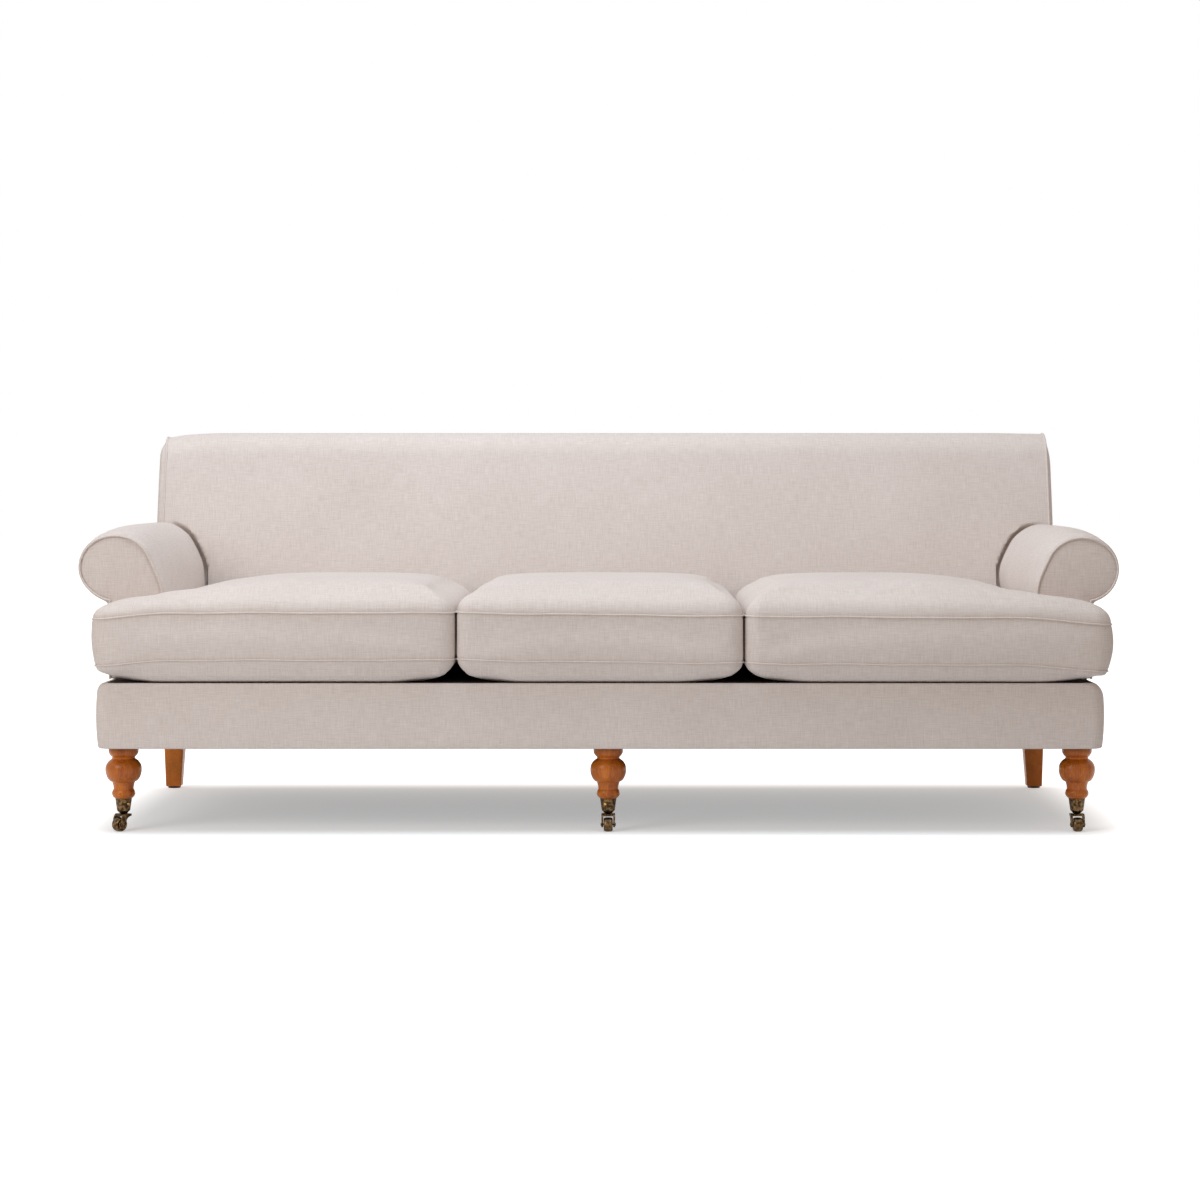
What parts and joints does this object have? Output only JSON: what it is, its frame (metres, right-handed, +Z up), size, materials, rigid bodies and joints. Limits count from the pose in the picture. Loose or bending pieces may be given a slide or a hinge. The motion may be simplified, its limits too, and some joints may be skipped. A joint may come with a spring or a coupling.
{
  "type": "english roll arm sofa",
  "caption": "Upholstered roll arm sofa with a tight piped back, loose seat cushions with ears before the arms, and turned front legs on cup casters.",
  "frame": {"origin": "on the floor, at the middle of the sofa's width and depth", "axes": "+X to the right as seen from the front, +Y towards the back, +Z up"},
  "size_m": [2.232, 0.914, 0.855],
  "materials": {
    "linen": "matte",
    "wadding": "matte",
    "deck_cloth": "matte",
    "dust_cloth": "matte",
    "frame_hardwood": "matte",
    "spring_steel": "satin",
    "turned_hardwood": "gloss",
    "rear_leg_hardwood": "satin",
    "antique_bronze": "satin",
    "wheel_bronze": "satin",
    "screw_brass": "satin",
    "glide_plastic": "matte"
  },
  "bodies": {
    "root": {"base_border": "linen", "back_upholstery": "linen", "outside_back_panel": "linen", "left_arm_upholstery": "linen", "right_arm_upholstery": "linen", "left_arm_facing": "linen", "right_arm_facing": "linen", "seat_deck": "deck_cloth", "dust_cover": "dust_cloth", "front_seat_rail": "frame_hardwood", "back_seat_rail": "frame_hardwood", "left_side_rail": "frame_hardwood", "right_side_rail": "frame_hardwood", "center_cross_rail": "frame_hardwood", "center_leg_block": "frame_hardwood", "left_front_corner_block": "frame_hardwood", "right_front_corner_block": "frame_hardwood", "left_rear_corner_block": "frame_hardwood", "right_rear_corner_block": "frame_hardwood", "left_arm_post": "frame_hardwood", "right_arm_post": "frame_hardwood", "left_arm_top_rail": "frame_hardwood", "right_arm_top_rail": "frame_hardwood", "left_back_post": "frame_hardwood", "right_back_post": "frame_hardwood", "left_inner_back_post": "frame_hardwood", "right_inner_back_post": "frame_hardwood", "back_top_rail": "frame_hardwood", "back_lower_rail": "frame_hardwood", "left_seat_springs": "spring_steel", "middle_seat_springs": "spring_steel", "right_seat_springs": "spring_steel", "left_front_leg": "turned_hardwood", "middle_front_leg": "turned_hardwood", "right_front_leg": "turned_hardwood", "left_rear_leg": "rear_leg_hardwood", "right_rear_leg": "rear_leg_hardwood", "left_caster_cup": "antique_bronze", "middle_caster_cup": "antique_bronze", "right_caster_cup": "antique_bronze", "left_cup_screw": "screw_brass", "middle_cup_screw": "screw_brass", "right_cup_screw": "screw_brass", "left_rear_glide": "glide_plastic", "right_rear_glide": "glide_plastic"},
    "left_swivel": {"left_caster_yoke": "antique_bronze", "left_axle_pin": "antique_bronze"},
    "left_wheel": {"left_caster_wheel": "wheel_bronze"},
    "middle_swivel": {"middle_caster_yoke": "antique_bronze", "middle_axle_pin": "antique_bronze"},
    "middle_wheel": {"middle_caster_wheel": "wheel_bronze"},
    "right_swivel": {"right_caster_yoke": "antique_bronze", "right_axle_pin": "antique_bronze"},
    "right_wheel": {"right_caster_wheel": "wheel_bronze"},
    "left_cushion": {"left_cushion_cover": "linen", "left_cushion_core": "wadding"},
    "middle_cushion": {"middle_cushion_cover": "linen", "middle_cushion_core": "wadding"},
    "right_cushion": {"right_cushion_cover": "linen", "right_cushion_core": "wadding"}
  },
  "joints": [
    {"name": "left_caster_swivel", "type": "hinge", "parent": "root", "child": "left_swivel", "pos_m": [-1.007, -0.377, 0.0375], "axis": [0, 0, 1], "continuous": true},
    {"name": "left_wheel_spin", "type": "hinge", "parent": "left_swivel", "child": "left_wheel", "pos_m": [-1.01407, -0.38543, 0.015], "axis": [0.766, -0.6428, 0], "continuous": true},
    {"name": "middle_caster_swivel", "type": "hinge", "parent": "root", "child": "middle_swivel", "pos_m": [0.017, -0.377, 0.0375], "axis": [0, 0, 1], "continuous": true},
    {"name": "middle_wheel_spin", "type": "hinge", "parent": "middle_swivel", "child": "middle_wheel", "pos_m": [0.017, -0.388, 0.015], "axis": [1, 0, 0], "continuous": true},
    {"name": "right_caster_swivel", "type": "hinge", "parent": "root", "child": "right_swivel", "pos_m": [1.007, -0.377, 0.0375], "axis": [0, 0, 1], "continuous": true},
    {"name": "right_wheel_spin", "type": "hinge", "parent": "right_swivel", "child": "right_wheel", "pos_m": [1.007, -0.388, 0.015], "axis": [1, 0, 0], "continuous": true},
    {"name": "left_cushion_lift", "type": "slide", "parent": "root", "child": "left_cushion", "axis": [0, 0, 1], "range_m": [0, 0.6]},
    {"name": "middle_cushion_lift", "type": "slide", "parent": "root", "child": "middle_cushion", "axis": [0, 0, 1], "range_m": [0, 0.6]},
    {"name": "right_cushion_lift", "type": "slide", "parent": "root", "child": "right_cushion", "axis": [0, 0, 1], "range_m": [0, 0.6]}
  ]
}
